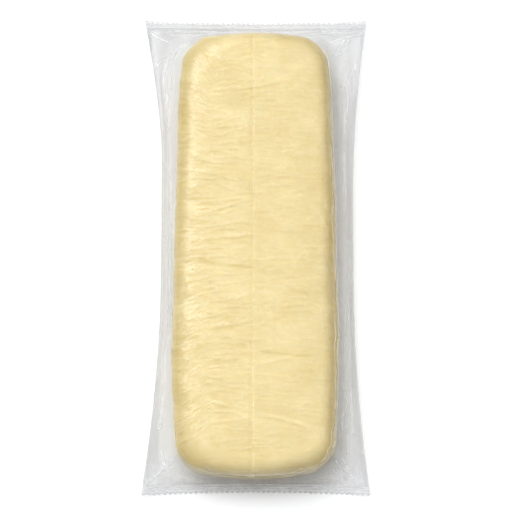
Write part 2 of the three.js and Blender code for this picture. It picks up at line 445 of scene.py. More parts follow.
def fill_face(points, rings, crown):
    """Spreads the points inside the innermost ring evenly between its four sides."""
    face = points[rings:points.shape[0] - rings, rings:points.shape[1] - rings]
    u = np.linspace(0, 1, face.shape[0])[:, None, None]
    v = np.linspace(0, 1, face.shape[1])[None, :, None]
    left, right = face[:1, :], face[-1:, :]
    near, far = face[:, :1], face[:, -1:]
    corners = (1 - u) * ((1 - v) * face[0, 0] + v * face[0, -1])
    corners = corners + u * ((1 - v) * face[-1, 0] + v * face[-1, -1])
    filled = lerp(left, right, u) + lerp(near, far, v) - corners
    across = abs(2 * u - 1)[..., 0]
    spine_share = (LOAF_HALF_LENGTH - LOAF_HALF_WIDTH) / (LOAF_HALF_LENGTH - SHOULDER_RADIUS)
    along = np.clip((abs(2 * v - 1)[..., 0] - spine_share) / (1 - spine_share), 0, 1)
    filled[..., 2] += crown * (1 - across ** 2) ** 2 * (1 - along ** 2) ** 2
    face[:] = filled


def sheet_normals(points, closed=False):
    if closed:
        points = np.concatenate([points[-2:-1], points, points[1:2]])
    across = np.gradient(points[..., :3], axis=0)
    along = np.gradient(points[..., :3], axis=1)
    normal = np.cross(across, along)
    normal = normal / np.maximum(np.linalg.norm(normal, axis=2, keepdims=True), 1e-9)
    return normal[1:-1] if closed else normal


def push(points, height, closed=False):
    """Moves the points out along the sheet's own normals."""
    points[..., :3] += sheet_normals(points, closed) * height[..., None]


def sheet_mesh(name, points, attributes=None, closed=False):
    """A grid mesh in metres, with its vertices at the points and one value each per attribute.
    A closed one is a band, whose last column lies on its first and is merged with it."""
    columns, rows = points.shape[0] - 1, points.shape[1] - 1
    bm = bmesh.new()
    bmesh.ops.create_grid(bm, x_segments=columns, y_segments=rows, size=1)
    mesh = bpy.data.meshes.new(name)
    bm.to_mesh(mesh)
    bm.free()
    flat = np.zeros(len(mesh.vertices) * 3)
    mesh.vertices.foreach_get("co", flat)
    flat = flat.reshape(-1, 3)
    column = np.rint((flat[:, 0] + 1) / 2 * columns).astype(int)
    row = np.rint((flat[:, 1] + 1) / 2 * rows).astype(int)
    mesh.vertices.foreach_set("co", (points[column, row, :3] * MM).ravel())
    for key, values in (attributes or {}).items():
        layer = mesh.attributes.new(key, "FLOAT", "POINT")
        layer.data.foreach_set("value", values[column, row].astype(np.float32))
    mesh.polygons.foreach_set("use_smooth", [True] * len(mesh.polygons))
    mesh.update()
    if closed:
        weld(mesh)
    return mesh


def weld(mesh):
    bm = bmesh.new()
    bm.from_mesh(mesh)
    bmesh.ops.remove_doubles(bm, verts=bm.verts, dist=0.001 * MM)
    bm.to_mesh(mesh)
    bm.free()


def add_piece(name, mesh, material, node="film_bag"):
    """A finished piece, which rides on the pack and stands for one of its solids."""
    piece = bpy.data.objects.new(name, mesh)
    bpy.context.scene.collection.objects.link(piece)
    piece.data.materials.append(material)
    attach(piece, "root")
    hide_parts(node)


# -------- wrinkles

def stroke(x, y, start, end, bow, width):
    """A smooth ridge of height one from start to end, bowed sideways at its middle."""
    dx, dy = end[0] - start[0], end[1] - start[1]
    length = math.hypot(dx, dy)
    along = ((x - start[0]) * dx + (y - start[1]) * dy) / length ** 2
    aside = (-(x - start[0]) * dy + (y - start[1]) * dx) / length
    along = np.clip(2 * along - 1, -1, 1)
    aside = aside - bow * (1 - along ** 2)
    return np.exp(-(aside / width) ** 2) * (1 - along ** 4)


def smooth_path(path):
    """More points on a smooth curve through the points of a path."""
    path = np.array([path[0], *path, path[-1]], float)
    share = np.linspace(0, 1, PATH_STEPS, endpoint=False)[:, None]
    pieces = []
    for before, start, end, after in zip(path, path[1:], path[2:], path[3:]):
        curve = 2 * start + (end - before) * share
        curve = curve + (2 * before - 5 * start + 4 * end - after) * share ** 2
        curve = curve + (3 * start - before - 3 * end + after) * share ** 3
        pieces.append(curve / 2)
    return np.vstack([*pieces, path[-1:]])


def crease(x, y, path, width):
    """A ridge of height one along a path, tapering to nothing at both ends."""
    points = smooth_path(path)
    margin = 3 * width
    low, high = points.min(axis=0) - margin, points.max(axis=0) + margin
    near = (x > low[0]) & (x < high[0]) & (y > low[1]) & (y < high[1])
    px, py = x[near], y[near]
    gap = np.full(px.shape, margin)
    place = np.zeros(px.shape)
    for index, (start, end) in enumerate(zip(points, points[1:])):
        run = end - start
        along = ((px - start[0]) * run[0] + (py - start[1]) * run[1]) / max(run @ run, 1e-9)
        along = np.clip(along, 0, 1)
        away = np.hypot(px - start[0] - along * run[0], py - start[1] - along * run[1])
        closer = away < gap
        gap = np.where(closer, away, gap)
        place = np.where(closer, (index + along) / (len(points) - 1), place)
    ridge = np.zeros(x.shape)
    ridge[near] = np.exp(-(gap / width) ** 2) * (1 - abs(2 * place - 1) ** 4)
    return ridge


def swells(x, y, seed, count, shortest, longest, stretch=1.0):
    """Soft unevenness of height about one: waves of random directions and phases."""
    rng = np.random.default_rng(seed)
    total = 0 * x
    for _ in range(count):
        length = rng.uniform(shortest, longest)
        angle = rng.uniform(0, math.pi)
        phase = rng.uniform(0, 2 * math.pi)
        wave = (x * math.cos(angle) / stretch + y * math.sin(angle)) * 2 * math.pi / length
        total = total + np.sin(wave + phase)
    return total / math.sqrt(count)


def crinkles(x, y, seed, length, count=14):
    """Thin wavy crests of height one that run across the loaf and fork here and there."""
    rng = np.random.default_rng(seed)
    wave = 0 * x
    for _ in range(count):
        angle = rng.normal(math.pi / 2, 0.22)
        step = length * rng.uniform(0.6, 1.7)
        across = x * math.cos(angle) + y * math.sin(angle)
        wave = wave + np.sin(across * 2 * math.pi / step + rng.uniform(0, 2 * math.pi))
    return np.exp(-(wave / math.sqrt(count / 2) / CREST_SHARE) ** 2)


def fine_wrinkles(x, y):
    """Many short ridges that run across the loaf, most of them on its left half."""
    rng = np.random.default_rng(11)
    total = 0 * x
    for _ in range(WRINKLE_COUNT):
        middle_x = rng.triangular(-46, -36, 36)
        middle_y = rng.uniform(-118, 112)
        half = rng.uniform(2, 10)
        tilt = 0.12 + 0.16 * math.sin(middle_y / 10) + rng.normal(0, 0.14)
        bow = rng.normal(0, 0.12) * half
        width = rng.uniform(0.5, 0.85)
        height = rng.uniform(0.25, 1.0) * (1.0 if middle_x < 0 else 0.5)
        start = (middle_x - half, middle_y - half * tilt)
        end = (middle_x + half, middle_y + half * tilt)
        total = total + height * stroke(x, y, start, end, bow, width)
    return total


def shoulder_squiggles(x, y):
    """Short slanting ridges where the film turns down over the left shoulder."""
    rng = np.random.default_rng(5)
    total = 0 * x
    for _ in range(SQUIGGLE_COUNT):
        middle = np.array([rng.triangular(-44, -37, -24), rng.uniform(-114, 108)])
        half = rng.uniform(1, 3.4)
        angle = rng.normal(0.7, 0.4)
        reach = np.array([math.cos(angle), math.sin(angle)]) * half
        total = total + stroke(x, y, middle - reach, middle + reach, 0.2 * half, 0.5)
    return total


def long_creases(x, y):
    """The folds that stand out on the face, each from end to end with its bow."""
    total = 0 * x
    for start, end, bow, width, height in (
        ((-34, 94.5), (-19, 101.5), 1.6, 0.8, 1.0),
        ((-32, 88), (21, 94), -2.4, 0.9, 0.8),
        ((-36, 48), (-3, 51), 3.8, 0.9, 0.8),
        ((-38, 21.5), (-1.5, 25), 0.6, 0.9, 0.9),
        ((-36, 15), (-3, 24.5), -0.6, 0.8, 1.0),
        ((-38, 14), (0, 14), -2.6, 0.9, 0.7),
        ((-36, 6), (-1, 11), 1.8, 1.0, 1.1),
        ((-36, 0), (-1, 4.5), 0.8, 0.9, 1.0),
        ((-36, -10), (0, -15.5), -0.9, 1.2, -1.2),
        ((-22, -24), (-8, -22.5), -0.5, 0.7, 0.9),
        ((-29, -33.5), (0, -28), -1.6, 0.9, 0.9),
        ((-32, -38), (-13, -39.5), -1.4, 0.8, 0.7),
        ((-37, -50), (0, -44), -0.2, 1.0, 1.4),
        ((-32, -70), (0, -68), -1.2, 0.9, 0.9),
        ((-1, -62), (31, -65), -0.6, 1.0, -1.1),
        ((-1, -70), (26, -63.5), 0.2, 1.0, 0.8),
        ((17, -28), (30, -30), 0.2, 0.9, -0.8),
        ((0, -97), (30, -104.5), 1.0, 1.0, 1.2),
        ((30, -115), (41, -112), 0.3, 0.7, 0.9),
        ((-39, -80), (-13, -93), -2.2, 0.9, 1.2),
        ((-36, -88), (-22, -94.5), -0.8, 0.8, 1.0),
        ((-35, -104), (0, -98.5), 0.6, 0.8, 0.9),
        ((36.5, 24), (42, 0), 0.8, 0.7, -1.2),
        ((35.5, 17), (41, 2), 0.3, 0.6, 1.0),
        ((38, 22), (43.5, 8), 0.6, 0.6, 0.9),
    ):
        total = total + height * stroke(x, y, start, end, bow, width)
    return total


def face_ridges(x, y):
    """How far the wrinkles stand up where the film lies on the loaf, in millimetres."""
    patchy = smooth(0.5 + 0.45 * swells(x, y, 31, 8, 14, 40))
    crests = 0.65 * crinkles(x, y, 41, 9.0) + 0.35 * crinkles(x, y, 42, 5.5)
    ridges = lerp(*CREST_HEIGHTS, rise(x, 8, -22)) * (0.4 + patchy) * crests
    ridges = ridges + WRINKLE_HEIGHT * fine_wrinkles(x, y)
    ridges = ridges + SQUIGGLE_HEIGHT * shoulder_squiggles(x, y)
    ridges = ridges + FOLD_HEIGHT * long_creases(x, y)
    return HIGHEST_RIDGE * np.tanh(ridges / HIGHEST_RIDGE)


def loaf_swells(x, y, z):
    """The loaf's own soft unevenness, which the film follows."""
    across = x - 0.6 * z
    left = LEFT_SWELL * rise(x, -14, -30)
    return LOAF_SWELL * swells(across, y, 3, 9, 9, 24, 2.5) + left * swells(across, y, 8, 7, 9, 22)


# The creases of the free film, in plan: each one's path, half width, height and milkiness, which is
# partly a painted glint along the crease.
FREE_CREASES = (
    # far left corner and wing
    (((-39.5, 121), (-46.2, 117), (-51.2, 111.8), (-52.9, 104), (-52.5, 96), (-51.2, 88),
      (-50.3, 79), (-49.9, 69)), 1.0, 0.5, 0.5),
    (((-51, 112), (-53, 104), (-52.5, 95), (-51.3, 86)), 1.7, 0.3, 0.25),
    (((-37.2, 123.5), (-41.3, 119.3), (-45.3, 114), (-47.2, 108.8), (-48.2, 104),
      (-48.8, 92)), 0.8, 0.4, 0.4),
    (((-63, 132), (-57, 128), (-50.3, 123.8)), 0.6, 0.4, 0.55),
    (((-60.5, 109.2), (-51.2, 116.5)), 0.5, 0.3, 0.3),
    (((-58.5, 133), (-30, 131.4), (0, 130.7), (30, 131.4), (58.5, 133)), 0.5, 0.3, 0.3),
    (((-52, 130), (-40, 128.5), (-28, 128.6)), 0.8, 0.3, 0.3),
    # left wing
    (((-53.5, 83.9), (-52.8, 66.1), (-52.1, 30.7), (-52, -4.4), (-52.9, -45)), 0.6, 0.2, 0.1),
    (((-50, 77.9), (-49.7, 54.2), (-48.6, 36.5), (-49, 7.2), (-49.4, -21.8), (-49.5, -45),
      (-50.8, -56.5)), 0.7, 0.3, 0.22),
    (((-50.8, -50), (-51.6, -68.5), (-52.1, -82.2), (-54.8, -102.1)), 0.7, 0.4, 0.4),
    (((-52.1, -82.2), (-53.5, -94), (-54.8, -103)), 1.5, 0.3, 0.3),
    # near left corner
    (((-43.5, -118), (-54.2, -126.8), (-63.7, -133)), 0.6, 0.5, 0.4),
    (((-53.7, -113.8), (-52, -123.4)), 0.6, 0.4, 0.5),
    (((-52, -123.4), (-50.8, -120.6)), 0.5, 0.4, 0.5),
    (((-51.4, -123.4), (-59.8, -131.3)), 0.6, 0.3, 0.3),
    # far right corner and wing
    (((43.9, 111.6), (50.3, 117.6), (52.7, 122.4), (54.8, 126.9)), 0.5, 0.4, 0.55),
    (((54.8, 126.9), (51, 124.8), (47, 116.5), (43.9, 111.6)), 0.5, 0.3, 0.4),
    (((64.2, 131.5), (47, 125.5), (41.5, 121)), 0.6, 0.4, 0.3),
    (((64, 132.6), (50, 131), (38, 130.5)), 0.6, 0.3, 0.3),
    (((52.5, 113), (51, 105), (49.7, 95)), 0.7, 0.3, 0.3),
    (((59.7, 115), (55.8, 105.5), (53, 98.5), (51.8, 91), (51.4, 76), (51, 66), (51, 48),
      (51.2, 28)), 0.8, 0.5, 0.5),
    (((57, 108), (54, 99), (52.4, 90), (51.8, 76)), 1.6, 0.3, 0.35),
    # right wing
    (((51.9, 22), (53.8, -4.4), (53.4, -21.8), (53.2, -45), (53.5, -70)), 0.8, 0.2, 0.15),
    (((51, -20), (51.5, -45), (50.5, -70)), 0.7, 0.2, 0.12),
    (((53, -74), (54, -90), (54.6, -108)), 1.1, 0.3, 0.25),
    # near right corner
    (((47.5, -75.8), (51.8, -85.1), (48.7, -97.3), (49.4, -105)), 0.6, 0.4, 0.25),
    (((51, -101), (51.9, -111.8), (51, -116.9)), 0.6, 0.3, 0.2),
    (((48, -118.3), (52.6, -125.1)), 0.5, 0.4, 0.55),
    (((52.6, -125.1), (49.9, -125.7)), 0.5, 0.4, 0.45),
    (((43.3, -119.4), (50.6, -126.4), (56, -129.7)), 0.6, 0.4, 0.4),
    (((43.3, -124.4), (51.9, -133.7)), 0.5, 0.4, 0.3),
    (((61.8, -106.4), (60.8, -116.4)), 0.5, 0.3, 0.4),
)


def free_film_creases(x, y):
    """The relief and the milkiness of the creases in the free film; the milkiness is partly a
    painted glint.
    """
    relief = np.zeros(x.shape)
    milky = np.zeros(x.shape)
    for path, width, height, milkiness in FREE_CREASES:
        ridge = crease(x, y, path, width)
        relief = relief + CREASE_RELIEF * height * ridge
        milky = np.maximum(milky, milkiness * ridge)
    return relief, milky


def loose_lip(x, y, from_loaf):
    """The little folds that stand out where the film leaves the loaf's right and near sides."""
    around = x + y
    wander = 0.9 * np.sin(2 * math.pi * around / 23) + 0.6 * np.sin(2 * math.pi * around / 9.1)
    first = np.exp(-((from_loaf - 1.6 - 0.6 * wander) / 1.0) ** 2)
    second = np.exp(-((from_loaf - 2.0 + 0.9 * wander) / 1.0) ** 2)
    right = rise(x, 28, 38) * rise(y, 118, 108)
    near = rise(y, -116, -124) * rise(x, -46, -34)
    return np.maximum(right, near) * np.maximum(first, second)


# -------- materials

def new_material(name):
    material = bpy.data.materials.new(name)
    material.use_nodes = True
    material.node_tree.nodes.clear()
    return material


def add_node(owner, kind, inputs=None, **settings):
    node = owner.node_tree.nodes.new(kind)
    for key, value in settings.items():
        setattr(node, key, value)
    for key, value in (inputs or {}).items():
        if isinstance(value, bpy.types.NodeSocket):
            owner.node_tree.links.new(value, node.inputs[key])
        else:
            node.inputs[key].default_value = value
    return node


def add_sum(owner, operation, *values):
    inputs = dict(enumerate(values))
    return add_node(owner, "ShaderNodeMath", inputs, operation=operation).outputs[0]


def attribute(material, name):
    """A value that the mesh holds at each of its points."""
    return add_node(material, "ShaderNodeAttribute", attribute_name=name).outputs["Fac"]


def grey(level):
    return (level, level, level, 1)


def cheese_material():
    """Smooth pale cheese, a little cloudy, with the faintest trace of curd."""
    material = new_material("mild_cheese")
    place = add_node(material, "ShaderNodeTexCoord").outputs["Object"]
    cloudy = add_node(material, "ShaderNodeTexNoise", {
        "Vector": place, "Scale": CHEESE_CLOUDS, "Detail": 4.0, "Roughness": 0.55})
    curd = add_node(material, "ShaderNodeTexNoise", {
        "Vector": place, "Scale": CURD_GRAIN, "Detail": 2.0, "Roughness": 0.5})
    mixed = add_sum(
        material, "MULTIPLY_ADD", curd.outputs["Fac"], 0.35, cloudy.outputs["Fac"])
    ramp = add_node(material, "ShaderNodeValToRGB", {"Fac": mixed})
    ramp.color_ramp.elements[0].position = 0.5
    ramp.color_ramp.elements[0].color = CHEESE_DARK
    ramp.color_ramp.elements[1].position = 0.85
    ramp.color_ramp.elements[1].color = CHEESE_LIGHT
    # Painted shade: the edge attribute darkens the cheese toward the rounded edges of its face.
    edge_shaded = add_node(material, "ShaderNodeMix", {
        0: attribute(material, "edge"), 6: ramp.outputs["Color"], 7: EDGE_PAINTED_SHADE},
        data_type="RGBA", blend_type="MULTIPLY")
    bumps = add_node(material, "ShaderNodeBump", {
        "Height": curd.outputs["Fac"], "Strength": 0.1, "Distance": BUMP_DEPTH})
    cheese = add_node(material, "ShaderNodeBsdfPrincipled", {
        "Base Color": edge_shaded.outputs[2], "Normal": bumps.outputs["Normal"],
        "Roughness": 0.45, "Subsurface Weight": 0.2, "Subsurface Scale": 0.004,
        "Specular IOR Level": 0.25})
    cheese.inputs["Subsurface Radius"].default_value = (1.0, 0.75, 0.35)
    add_node(material, "ShaderNodeOutputMaterial", {"Surface": cheese.outputs[0]})
    return material


def golden(material, clear, warm):
    """What the film lets through: where it is less clear over the cheese it looks golden."""
    channels = add_node(material, "ShaderNodeCombineColor", {"Red": clear})
    for channel, more in GOLDEN_POWERS:
        power = add_sum(material, "MULTIPLY_ADD", warm, more, 1.0)
        part = add_sum(material, "POWER", clear, power)
        material.node_tree.links.new(part, channels.inputs[channel])
    return channels.outputs["Color"]


def film_streaks(material, crumple, grain):
    """The film's finest crumples, as a normal, and how its milkiness varies, as a factor."""
    place = add_node(material, "ShaderNodeTexCoord").outputs["Object"]
    spread = add_node(material, "ShaderNodeMapping", {"Vector": place, "Scale": grain})
    crinkle = add_node(material, "ShaderNodeTexNoise", {
        "Vector": spread.outputs[0], "Scale": CRUMPLE_GRAIN, "Detail": 3.0, "Roughness": 0.55,
        "Distortion": 0.6})
    bumps = add_node(material, "ShaderNodeBump", {
        "Height": crinkle.outputs["Fac"], "Strength": crumple, "Distance": BUMP_DEPTH})
    cloud = add_node(material, "ShaderNodeTexNoise", {
        "Vector": spread.outputs[0], "Scale": VEIL_GRAIN, "Detail": 4.0, "Roughness": 0.6,
        "Distortion": 0.5})
    uneven = add_node(material, "ShaderNodeMapRange", {
        "Value": cloud.outputs["Fac"], "From Min": 0.34, "From Max": 0.66, "To Min": 0.5,
        "To Max": 1.5})
    return bumps.outputs["Normal"], uneven.outputs[0]


def shining_sheet(material, colour, normal, roughness, shine):
    """Film that lets a colour through, and reflects more the more it slants."""
    sheet = add_node(material, "ShaderNodeBsdfTransparent", {"Color": colour})
    gloss = add_node(material, "ShaderNodeBsdfGlossy", {
        "Color": grey(1.0), "Roughness": roughness, "Normal": normal})
    slant = add_node(material, "ShaderNodeLayerWeight", {"Blend": 0.5}).outputs["Facing"]
    steep = add_sum(material, "POWER", slant, 4.0)
    return add_node(material, "ShaderNodeMixShader", {
        0: add_sum(material, "MULTIPLY_ADD", steep, SLANT_SHINE, shine),
        1: sheet.outputs[0], 2: gloss.outputs[0]}).outputs[0]


def milky_veil(material, warm, normal):
    """The film's own white where it is folded, which is cream over the cheese."""
    tone = add_node(material, "ShaderNodeMix", {
        0: warm, 6: VEIL_COLOUR, 7: CREAM_VEIL}, data_type="RGBA")
    return add_node(material, "ShaderNodeBsdfPrincipled", {
        "Base Color": tone.outputs[2], "Roughness": 0.3, "Normal": normal}).outputs[0]


def veil_share(material, milky, uneven):
    """How much of the veil shows. None of it shades what lies under the film."""
    whiteness = add_node(material, "ShaderNodeMath", {
        0: milky, 1: uneven}, operation="MULTIPLY", use_clamp=True)
    shadow = add_node(material, "ShaderNodeLightPath").outputs["Is Shadow Ray"]
    lit = add_sum(material, "SUBTRACT", 1.0, shadow)
    return add_sum(material, "MULTIPLY", whiteness.outputs[0], lit)


def film_material(name, roughness, shine, crumple, grain):
    """Clear film: the clear attribute is the share of light that it lets through, the milky one
    how white it is where it is folded, and the warm one how much it takes on the cheese's colour.
    grain is under one along the axis on which its fine streaks are drawn out."""
    material = new_material(name)
    warm = attribute(material, "warm")
    normal, uneven = film_streaks(material, crumple, grain)
    colour = golden(material, attribute(material, "clear"), warm)
    film = add_node(material, "ShaderNodeMixShader", {
        0: veil_share(material, attribute(material, "milky"), uneven),
        1: shining_sheet(material, colour, normal, roughness, shine),
        2: milky_veil(material, warm, normal)})
    add_node(material, "ShaderNodeOutputMaterial", {"Surface": film.outputs[0]})
    return material


def floor_material():
    """White ground, lit a little from below, as on a photographer's light table."""
    material = new_material("white_ground")
    ground = add_node(material, "ShaderNodeBsdfPrincipled", {
        "Base Color": FLOOR_COLOUR, "Roughness": 0.8, "Specular IOR Level": 0.1,
        "Emission Color": grey(1.0), "Emission Strength": FLOOR_GLOW})
    add_node(material, "ShaderNodeOutputMaterial", {"Surface": ground.outputs[0]})
    return material


# -------- pieces

def painted_edge_shade(x, y, z):
    """How much painted shade darkens the cheese's colour: most round the right and near edges of
    its face, which face away from the lamp.
    """
    drop = LOAF_HEIGHT - z
    right = rise(x, 0, 25)
    near = rise(y, -110, -125)
    side = np.maximum(right, EDGE_SHARES["near"] * near)
    start = EDGE_START * (1 - right)
    full = lerp(lerp(EDGE_DROPS["left"], EDGE_DROPS["near"], near), EDGE_DROPS["right"], right)
    full = full - EDGE_BULGE * right * np.exp(-((y + 30) / 50) ** 2)
    band = rise(drop, start, full) * lerp(1, WALL_SHADE_SHARE, rise(drop, 14, 26))
    patches = 1 + EDGE_PATCHES * swells(x, y, 17, 6, 14, 40)
    return np.clip(band * lerp(EDGE_SHARES["left"], 1, side) * patches, 0, 1)


def make_loaf(material):
    points = lay_rings(
        LOAF_COLUMNS + 2 * LOAF_RINGS, LOAF_ROWS + 2 * LOAF_RINGS, LOAF_RINGS, loaf_point)
    fill_face(points, LOAF_RINGS, FACE_CROWN)
    x, y, z = points[..., 0].copy(), points[..., 1].copy(), points[..., 2].copy()
    wall_share = rise(z, HEEL_RADIUS / 2, HEEL_RADIUS * 3 / 2)
    top_share = rise(z, HEEL_RADIUS, LOAF_HEIGHT)
    height = wall_share * loaf_swells(x, y, z) + CHEESE_RIDGES * top_share * face_ridges(x, y)
    push(points, height)
    # The edge attribute is painted shade round the face's edges.
    mesh = sheet_mesh("cheese_block", points, {"edge": painted_edge_shade(x, y, z)})
    bm = bmesh.new()
    bm.from_mesh(mesh)
    open_edges = [edge for edge in bm.edges if edge.is_boundary]
    bmesh.ops.edgeloop_fill(bm, edges=open_edges)
    bm.to_mesh(mesh)
    bm.free()
    add_piece("cheese_block", mesh, material, "cheese_loaf")


def wing_swells(x, y):
    """Soft unevenness of the free film, drawn out along the bag."""
    return swells(x, 0.12 * y, 21, 8, 5, 14)


def near_slopes(points, height):
    """How steeply a relief rises away from the near end, where it does."""
    climb = np.gradient(height, axis=1)
    run = np.gradient(points[..., 1], axis=1)
    return np.clip(climb / np.maximum(abs(run), 0.1) * np.sign(run), 0, 0.5)


def wing_clearness(points):
    """How clear the free film is: less so towards the rim, where it is drawn tight, and clearer at
    the right rim than the left, as painted light where less of the lamp falls.
    """
    from_loaf, to_rim = points[..., 3], points[..., 4]
    from_rim = from_loaf * (1 - to_rim) / np.maximum(to_rim, 0.02)
    right = rise(points[..., 0], -40, 40)
    at_rim = lerp(RIM_CLEARNESS["left"], RIM_CLEARNESS["right"], right)
    return lerp(at_rim, FREE_CLEARNESS, rise(from_rim, 0, RIM_REACH))


def lying_share(points):
    """One where the film lies on the loaf, and zero a little way out from it."""
    return 1 - rise(points[..., 3], 0, 4)


def upper_haze(points, ridges, milky, lip):
    """How milky the upper film is on the face, in its creases and toward its edges. Part of it is
    painted: glare on the face's top, highlights on its crests and creases, and light in the near
    end's shade.
    """
    y, z, to_rim = points[..., 1], points[..., 2], points[..., 4]
    on_face = np.clip(FACE_MILK_AND_GLARE * rise(z, 37, 42) + RIDGE_MILK_AND_HIGHLIGHT * ridges, 0, MOST_FACE_MILK)
    on_wing = WING_MILK + CREASE_MILK_AND_GLINT * milky + EDGE_MILK * rise(to_rim, 0.93, 1)
    # Painted light on the near skirt, in the loaf's shade.
    on_wing = on_wing + NEAR_MILK_AND_PAINTED_LIGHT * rise(y, -118, -126) * rise(to_rim, 0.1, 0.4)
    return np.maximum(lerp(on_wing, on_face, lying_share(points)), LIP_MILK * lip)


def dress_film(points, closed=False):
    """Wrinkles a sheet of the upper film, and works out how clear and how milky it is."""
    flat = points.copy()
    x, y, z, from_loaf, to_rim = np.moveaxis(flat, -1, 0)
    lying = lying_share(flat)
    free = rise(from_loaf, 0, 3) * rise(to_rim, 1, 0.88)
    ridges = face_ridges(x, y)
    relief, milky = free_film_creases(x, y)
    lip = loose_lip(x, y, from_loaf)
    height = lying * (FILM_LIFT + ridges + loaf_swells(x, y, z))
    height = height + free * (relief + WING_SWELL * wing_swells(x, y)) + LIP_HEIGHT * lip
    push(points, height, closed)
    clear = lerp(wing_clearness(points), LYING_CLEARNESS, lying)
    # Painted shade on the wrinkles' flanks that face the near end.
    clear = clear - NEAR_FLANK_PAINTED_SHADE * lying * near_slopes(points, ridges)
    # Painted shadow: the film beside the loaf's right side is made less clear where the loaf's
    # shadow falls.
    beside = rise(x, 30, 40) * (1 - rise(to_rim, 0.15, 0.5)) * (1 - lying)
    clear = clear - PAINTED_SIDE_SHADOW * beside + WING_STREAKS * free * wing_swells(x, y)
    haze = upper_haze(flat, ridges, milky, lip)
    return {"clear": clear, "milky": haze, "warm": 1 - rise(to_rim, 0.02, 0.12)}


def face_film_point(side, along, ring):
    return upper_film_point(side, along, ring + SKIRT_RINGS)


def make_upper_film(face_material, free_material):
    """The upper film, in two sheets that meet: one lies on the loaf, the other hangs free."""
    columns = FACE_COLUMNS + 2 * CLING_RINGS
    rows = FACE_ROWS + 2 * CLING_RINGS
    skirt = lay_band(SKIRT_END_STEPS * columns, rows, SKIRT_RINGS, upper_film_point)
    finish = dress_film(skirt, True)
    mesh = sheet_mesh("film_skirt", skirt, finish, True)
    add_piece("film_skirt", mesh, free_material)
    face = lay_rings(columns, rows, CLING_RINGS, face_film_point)
    fill_face(face, CLING_RINGS, FACE_CROWN)
    finish = dress_film(face)
    hem = skirt[:, -1]
    ends = SKIRT_END_STEPS * columns
    face[:, 0] = hem[:ends + 1:SKIRT_END_STEPS]
    face[-1, :] = hem[ends:ends + rows + 1]
    face[::-1, -1] = hem[ends + rows:2 * ends + rows + 1:SKIRT_END_STEPS]
    face[0, ::-1] = hem[2 * ends + rows:]
    mesh = sheet_mesh("film_upper", face, finish)
    add_piece("film_upper", mesh, face_material)
    return face


def make_lap(points, material):
    """The narrow overlap down the middle, where the film's two edges were joined."""
    raised = points.copy()
    push(raised, np.full(points.shape[:2], LAP_LIFT))
    half_way = points.shape[1] // 2
    columns = np.arange(points.shape[0])
    on_top = abs(points[:, half_way, 0]) < 20
    strip = []
    for place in np.linspace(-0.5, 0.5, LAP_COLUMNS + 1):
        x = LAP_PLACE + LAP_WIDTH * place
        column = np.interp(x, points[on_top, half_way, 0], columns[on_top])
        whole = int(column)
        strip.append(lerp(raised[whole], raised[whole + 1], column - whole))
    strip = np.array(strip)[:, 2:-2]
    across = np.linspace(-1, 1, LAP_COLUMNS + 1)[:, None] + 0 * strip[..., 0]
    haze = LAP_MILK * rise(across, 0.4, 0.8)
    mesh = sheet_mesh(
        "film_lap", strip, {"clear": 0 * haze + LAP_CLEARNESS, "milky": haze, "warm": 0 * haze + 1})
    add_piece("film_lap", mesh, material)


def make_lower_film(material):
    rings = UNDER_SKIRT_RINGS + UNDER_CLING_RINGS
    points = lay_rings(
        UNDER_FACE_COLUMNS + 2 * rings, UNDER_FACE_ROWS + 2 * rings, rings, lower_film_point)
    fill_face(points, rings, 0)
    x, y = points[..., 0].copy(), points[..., 1].copy()
    lying = lying_share(points)
    free = (1 - lying) * rise(points[..., 4], 1, 0.88)
    push(points, UNDER_SWELL * free * wing_swells(x, y + 40) - FILM_LIFT / 2 * lying)
    points[..., 2] = np.maximum(points[..., 2], LOWEST_FILM)
    clear = lerp(wing_clearness(points), LYING_CLEARNESS, lying)
    haze = WING_MILK * (1 - lying)
    mesh = sheet_mesh("film_lower", points, {"clear": clear, "milky": haze, "warm": lying})
    mesh.flip_normals()
    add_piece("film_lower", mesh, material)


def make_seal(name, end, material):
    """One crimped seal: the two films pressed together, with ribs across it and a toothed edge."""
    columns = TEETH_PER_SEAL * STEPS_PER_TOOTH
    across = np.linspace(-1, 1, columns + 1)
    tooth = TOOTH_DEPTH * (0.5 + 0.5 * np.cos(math.pi * TEETH_PER_SEAL * (across + 1)))
    inner = rim_point(end, across)
    points = np.zeros((columns + 1, SEAL_ROWS + 1, 3))
    haze = np.zeros((columns + 1, SEAL_ROWS + 1))
    sign = 1 if end == "far" else -1
    for row in range(SEAL_ROWS + 1):
        depth = row / SEAL_ROWS
        x = lerp(inner[:, 0], across * BAG_WIDTH / 2, depth)
        y = seal_line(end, x) - SEAL_DEPTH * (1 - depth) - tooth * rise(depth, 0.7, 1)
        outer_height = lerp(SEAL_OUTER_HEIGHT, CORNER_HEIGHT, abs(across) ** SEAL_LIFT)
        wave = math.sin(2 * math.pi * depth * SEAL_RIBS)
        place = row if sign > 0 else SEAL_ROWS - row
        points[:, place, 0] = x
        points[:, place, 1] = sign * y
        points[:, place, 2] = lerp(inner[:, 2], outer_height, depth)
        points[:, place, 2] += SEAL_RIB_HEIGHT * wave * math.sin(math.pi * depth)
        # Painted glint on the ribs; the near seal's larger milk is also painted light in the loaf's
        # shade.
        haze[:, place] = SEAL_MILK[end] + RIB_MILK_AND_GLINT * max(wave, 0) * (1 + 0.4 * np.sin(x / 9))
    edge = np.linspace(0, 1, SEAL_ROWS + 1)[::sign][None, :] + 0 * haze
    # Painted shadow along the toothed edge, as darker film.
    clear = lerp(SEAL_CLEARNESS, TOOTH_SHADOW_CLEARNESS, rise(edge, 0.85, 1))
    mesh = sheet_mesh(name, points, {"clear": clear, "milky": haze, "warm": 0 * haze})
    add_piece(name, mesh, material)


